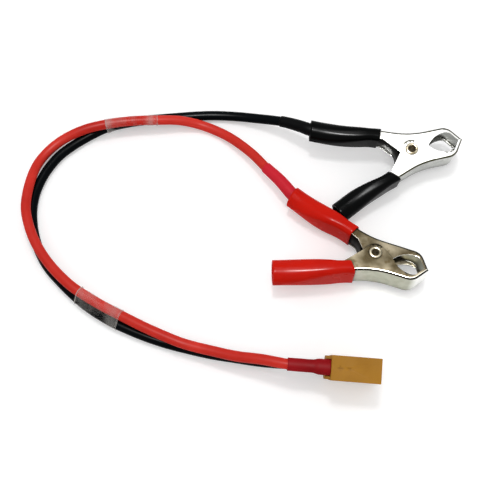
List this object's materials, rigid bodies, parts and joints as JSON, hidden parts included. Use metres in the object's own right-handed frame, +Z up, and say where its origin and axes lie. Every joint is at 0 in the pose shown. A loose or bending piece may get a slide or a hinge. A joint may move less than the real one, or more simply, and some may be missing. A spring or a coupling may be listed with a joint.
{
  "type": "battery adapter lead",
  "caption": "Battery adapter lead: red and black silicone wires join two sprung battery clips with vinyl grips to a round-pin DC connector.",
  "frame": {"origin": "middle of the box round the two clips and the connector, on the surface they lie on", "axes": "+Z up; +Y from the connector towards the black clip; +X towards the jaws of the clips, with the wires' loop on -X"},
  "size_m": [0.1568, 0.1069, 0.0169],
  "materials": {
    "red_clip_steel": "satin nickel plate, a little dull",
    "black_clip_steel": "bright nickel plate",
    "rivet_steel": "satin",
    "spring_steel": "dark tempered, satin",
    "red_vinyl": "soft vinyl, half gloss",
    "black_vinyl": "soft vinyl, half gloss",
    "red_silicone": "satin",
    "black_silicone": "satin",
    "copper_strands": "tinned copper",
    "solder": "satin",
    "red_shrink": "matte",
    "black_shrink": "matte",
    "clear_sleeve": "clear soft plastic, milky at the ends",
    "amber_nylon": "satin moulded",
    "gold_plating": "polished"
  },
  "bodies": {
    "lead": {"red_wired_jaw": "red_clip_steel", "red_rivet": "rivet_steel", "red_spring": "spring_steel", "red_wired_grip": "red_vinyl", "black_wired_jaw": "black_clip_steel", "black_rivet": "rivet_steel", "black_spring": "spring_steel", "black_wired_grip": "black_vinyl", "red_insulation": "red_silicone", "red_conductor": "copper_strands", "red_clip_solder": "solder", "red_clip_shrink": "red_shrink", "red_pin_solder": "solder", "red_pin_shrink": "red_shrink", "black_insulation": "black_silicone", "black_conductor": "copper_strands", "black_clip_solder": "solder", "black_clip_shrink": "black_shrink", "black_pin_solder": "solder", "black_pin_shrink": "black_shrink", "upper_clear_sleeve": "clear_sleeve", "lower_clear_sleeve": "clear_sleeve", "connector_housing": "amber_nylon", "positive_pin": "gold_plating", "negative_pin": "gold_plating"},
    "red_jaw": {"red_free_jaw": "red_clip_steel", "red_free_grip": "red_vinyl"},
    "black_jaw": {"black_free_jaw": "black_clip_steel", "black_free_grip": "black_vinyl"}
  },
  "joints": [
    {"name": "red_clip_hinge", "type": "hinge", "parent": "lead", "child": "red_jaw", "pos_m": [0.0007, -0.0032, 0.0065], "axis": [-0.0227, -0.066, -0.9976], "range_deg": [0, 35], "stiffness_Nm_per_rad": 0.2, "springref_deg": -34.38, "deforming": ["red_spring"]},
    {"name": "black_clip_hinge", "type": "hinge", "parent": "lead", "child": "black_jaw", "pos_m": [0.0156, 0.0372, 0.0072], "axis": [-0.0313, 0.1356, -0.9903], "range_deg": [0, 40], "stiffness_Nm_per_rad": 0.2, "springref_deg": -34.38, "deforming": ["black_spring"]}
  ]
}
